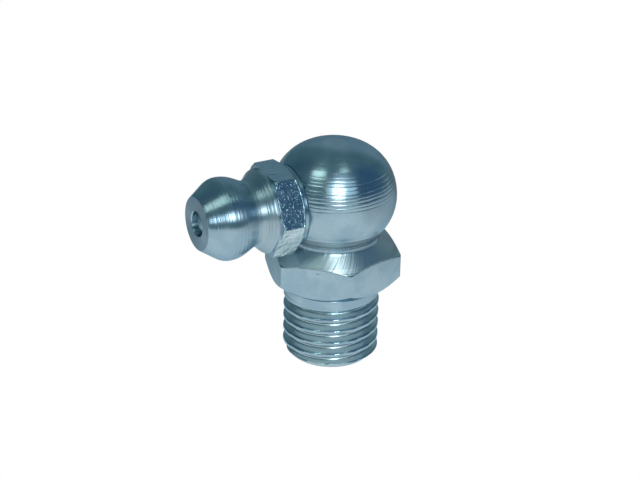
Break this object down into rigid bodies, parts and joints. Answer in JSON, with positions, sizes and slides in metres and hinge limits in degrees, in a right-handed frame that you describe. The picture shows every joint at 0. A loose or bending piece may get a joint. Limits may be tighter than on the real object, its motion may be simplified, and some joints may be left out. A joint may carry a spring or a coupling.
{
  "type": "grease nipple",
  "caption": "Right-angle grease nipple: threaded shank, hexagon and ball-shaped elbow, with a conical grease head pressed in and closed by a sprung check ball.",
  "frame": {"origin": "on the thread's axis, in the plane of the face with which the hexagon seats on the housing", "axes": "+Z runs along the thread's axis, up through the hexagon to the ball; the grease head points along -X; Y runs across"},
  "size_m": [0.0179, 0.0112, 0.0187],
  "materials": {
    "plated_body": "turned steel with a bright blue-tinged zinc plating",
    "plated_head": "turned and hardened steel with a bright blue-tinged zinc plating",
    "ball_steel": "polished bearing-steel ball",
    "spring_steel": "drawn spring wire"
  },
  "bodies": {
    "nipple": {"elbow_body": "plated_body", "grease_head": "plated_head", "valve_spring": "spring_steel"},
    "check_ball": {"check_ball": "ball_steel"}
  },
  "joints": [
    {"name": "check_ball_slide", "type": "slide", "parent": "nipple", "child": "check_ball", "axis": [1, 0, 0], "range_m": [0, 0.001], "stiffness_N_per_m": 1100, "springref_m": -0.0018, "deforming": ["valve_spring"]}
  ]
}
